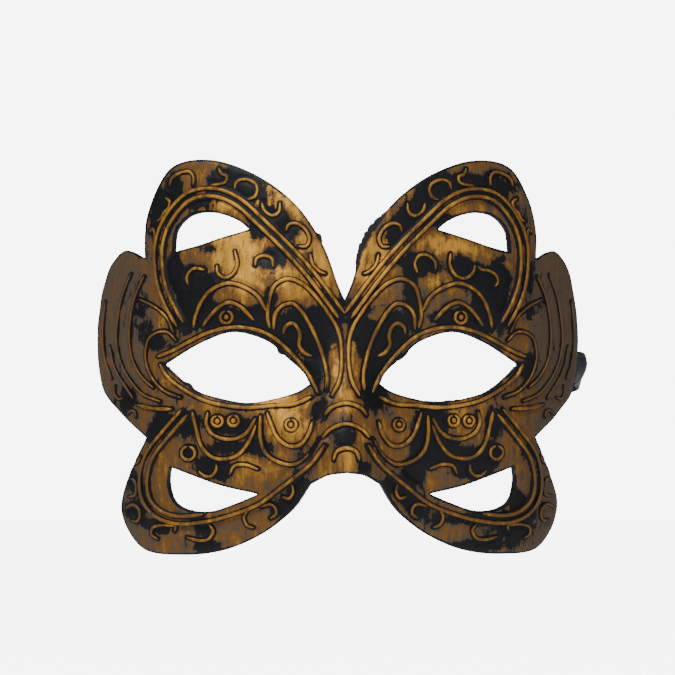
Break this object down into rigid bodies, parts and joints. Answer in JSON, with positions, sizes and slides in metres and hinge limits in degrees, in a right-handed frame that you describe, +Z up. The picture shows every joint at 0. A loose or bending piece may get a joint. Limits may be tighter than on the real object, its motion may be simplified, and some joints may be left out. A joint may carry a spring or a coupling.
{
  "type": "venetian masquerade mask",
  "caption": "Butterfly-winged half mask with eye and wing openings, raised scrollwork, felt lining and a folded ribbon tie at the back.",
  "frame": {"origin": "seat on the nose bridge: the point of the lining between the eyes that rests on the wearer's nose", "axes": "+Z up as worn, -Y out of the mask's front, +Y towards the wearer, +X to the right of someone looking at the front"},
  "size_m": [0.1897, 0.0889, 0.147],
  "materials": {
    "gilded_board": "antique gold dry-brushed over blue-black lacquer",
    "black_felt": "matt felt",
    "black_satin": "satin ribbon"
  },
  "bodies": {
    "mask": {"face_shell": "gilded_board", "felt_lining": "black_felt", "anchor_patch_left": "black_felt", "anchor_patch_right": "black_felt", "ribbon_end_left": "black_satin", "ribbon_end_right": "black_satin"},
    "tie": {"ribbon_left": "black_satin", "ribbon_right": "black_satin", "ribbon_folds_left": "black_satin", "ribbon_folds_right": "black_satin", "tie_wrap": "black_satin"}
  },
  "joints": [
    {"name": "tie_swing", "type": "hinge", "parent": "mask", "child": "tie", "pos_m": [0, 0.065, 0], "axis": [1, 0, 0], "range_deg": [0, 55]}
  ]
}
